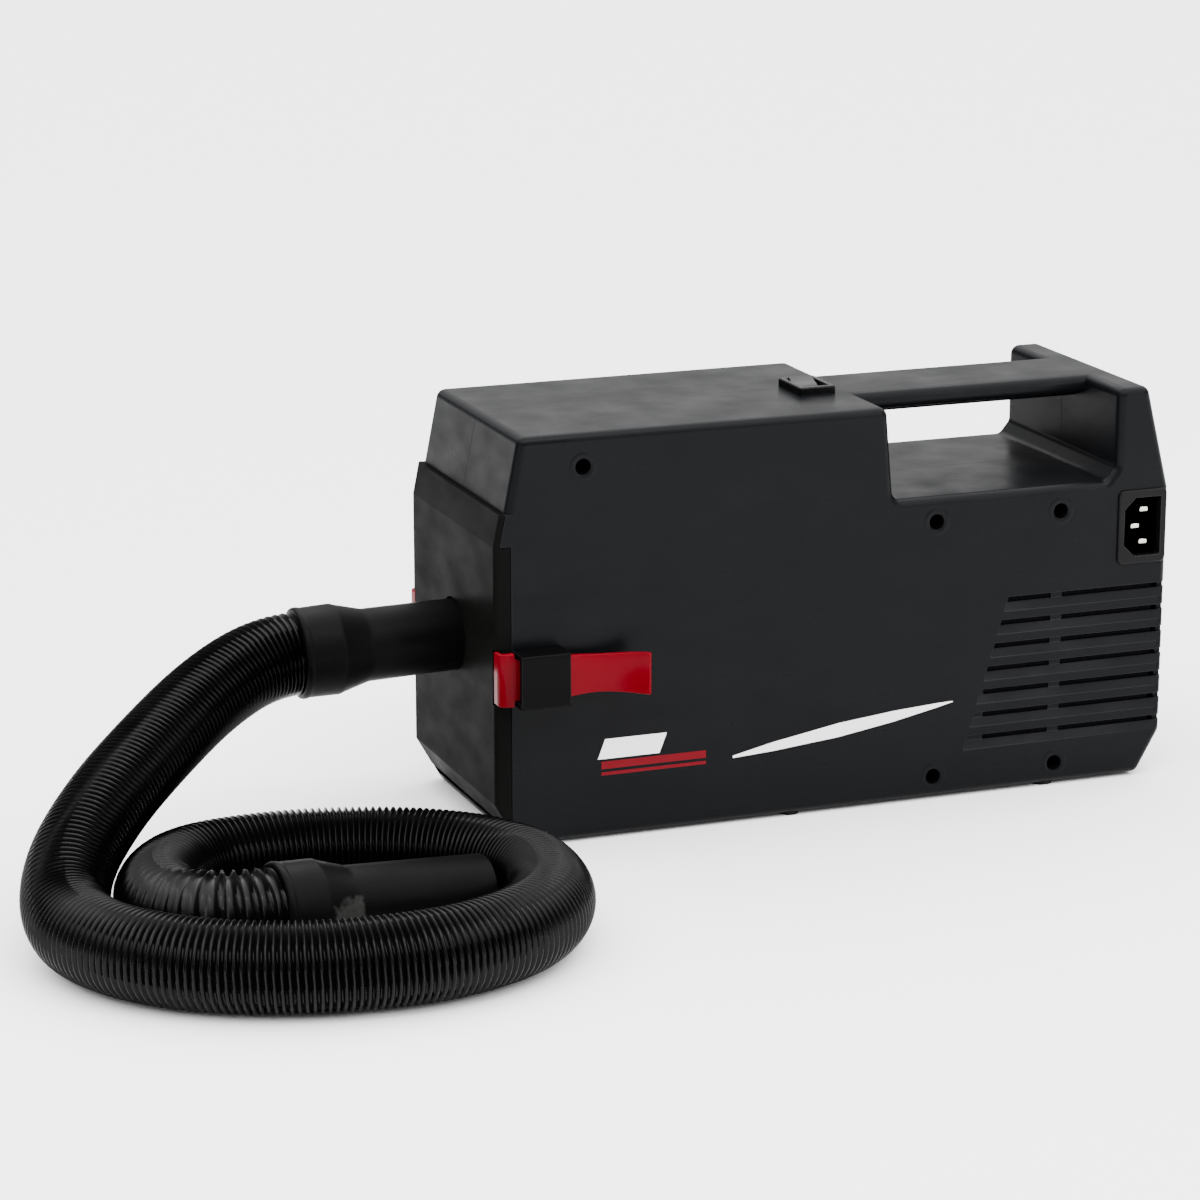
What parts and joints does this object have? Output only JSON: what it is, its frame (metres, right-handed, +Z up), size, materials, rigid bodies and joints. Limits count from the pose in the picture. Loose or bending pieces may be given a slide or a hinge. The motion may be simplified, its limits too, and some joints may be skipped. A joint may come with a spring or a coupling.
{
  "type": "portable vacuum cleaner",
  "caption": "Small carry-by-hand vacuum cleaner with latched filter cover, suction hose, louvred exhaust, rocker switch and mains inlet.",
  "frame": {"origin": "on the floor under the middle of the machine, without its hose", "axes": "+X to the machine's rear, -Y the side with the mains inlet, +Z up"},
  "size_m": [0.5131, 0.2889, 0.1754],
  "materials": {
    "near_shell": "fine satin texture",
    "far_shell": "fine satin texture",
    "front_cover": "fine satin texture",
    "cover_seal": "cellular foam",
    "port_seal": "smooth",
    "filter_canister": "moulded",
    "filter_inlet_grommet": "smooth",
    "filter_pleats": "pleated paper",
    "filter_gasket": "cellular foam",
    "bulkhead": "moulded",
    "fan_inlet_seal": "cellular foam",
    "fan_housing": "drawn zinc-plated sheet",
    "front_motor_mount": "ribbed",
    "fan_wheel": "pressed sheet",
    "fan_nut": "zinc-plated",
    "motor_shaft": "ground",
    "bearing": "polished",
    "motor_front_bracket": "die-cast",
    "motor_can": "rolled zinc-plated sheet",
    "motor_rear_bracket": "die-cast",
    "rear_motor_mount": "smooth",
    "lamination": "stacked sheet edges",
    "winding": "enamelled copper wire",
    "commutator": "turned copper segments",
    "carbon_brushes": "pressed carbon",
    "brush_holders": "folded sheet",
    "spring_steel": "drawn wire",
    "suppression_capacitor": "potted case",
    "terminal_block": "moulded",
    "exhaust_foam": "open-cell foam",
    "power_inlet": "moulded",
    "inlet_pins": "nickel-plated",
    "switch_body": "moulded",
    "switch_rocker": "moulded",
    "live_lead": "insulated wire",
    "switched_lead": "insulated wire",
    "neutral_lead": "insulated wire",
    "casing_screws": "blackened",
    "rubber_feet": "smooth",
    "latch_lever": "glossy red",
    "latch_bridge": "fine satin texture",
    "latch_pin": "ground",
    "hose_cuff": "satin moulding",
    "hose": "ribbed stretch hose"
  },
  "bodies": {
    "housing": {"near_shell": "near_shell", "far_shell": "far_shell", "front_cover": "front_cover", "cover_seal": "cover_seal", "port_seal": "port_seal", "filter_canister": "filter_canister", "filter_inlet_grommet": "filter_inlet_grommet", "filter_pleats": "filter_pleats", "filter_gasket": "filter_gasket", "bulkhead": "bulkhead", "fan_inlet_seal": "fan_inlet_seal", "fan_housing": "fan_housing", "front_motor_mount": "front_motor_mount", "front_bearing": "bearing", "rear_bearing": "bearing", "motor_front_bracket": "motor_front_bracket", "motor_can": "motor_can", "motor_rear_bracket": "motor_rear_bracket", "rear_motor_mount": "rear_motor_mount", "field_core": "lamination", "field_windings": "winding", "carbon_brushes": "carbon_brushes", "brush_holders": "brush_holders", "brush_springs": "spring_steel", "suppression_capacitor": "suppression_capacitor", "terminal_block": "terminal_block", "near_exhaust_foam": "exhaust_foam", "far_exhaust_foam": "exhaust_foam", "power_inlet": "power_inlet", "inlet_pins": "inlet_pins", "switch_body": "switch_body", "live_lead": "live_lead", "switched_lead": "switched_lead", "neutral_lead": "neutral_lead", "casing_screws": "casing_screws", "rubber_feet": "rubber_feet", "near_latch_bridge": "latch_bridge", "near_latch_pin": "latch_pin", "near_latch_spring": "spring_steel", "far_latch_bridge": "latch_bridge", "far_latch_pin": "latch_pin", "far_latch_spring": "spring_steel"},
    "rotor": {"motor_shaft": "motor_shaft", "fan_wheel": "fan_wheel", "fan_nut": "fan_nut", "armature_core": "lamination", "armature_windings": "winding", "commutator": "commutator"},
    "rocker": {"switch_rocker": "switch_rocker"},
    "near_latch": {"near_latch_lever": "latch_lever"},
    "far_latch": {"far_latch_lever": "latch_lever"},
    "hose_set": {"machine_cuff": "hose_cuff", "hose": "hose", "tool_cuff": "hose_cuff"}
  },
  "joints": [
    {"name": "rotor_spin", "type": "hinge", "parent": "housing", "child": "rotor", "pos_m": [0, 0, 0.0632], "axis": [1, 0, 0], "continuous": true},
    {"name": "rocker_pivot", "type": "hinge", "parent": "housing", "child": "rocker", "pos_m": [0.0035, -0.006, 0.1708], "axis": [-1, 0, 0], "range_deg": [0, 20]},
    {"name": "near_latch_pivot", "type": "hinge", "parent": "housing", "child": "near_latch", "pos_m": [-0.134, -0.058, 0.073], "axis": [0, 0, 1], "range_deg": [0, 8.5], "stiffness_Nm_per_rad": 2},
    {"name": "far_latch_pivot", "type": "hinge", "parent": "housing", "child": "far_latch", "pos_m": [-0.134, 0.058, 0.073], "axis": [0, 0, -1], "range_deg": [0, 8.5], "stiffness_Nm_per_rad": 2},
    {"name": "cuff_pull", "type": "slide", "parent": "housing", "child": "hose_set", "axis": [-1, 0, 0], "range_m": [0, 0.05]}
  ]
}
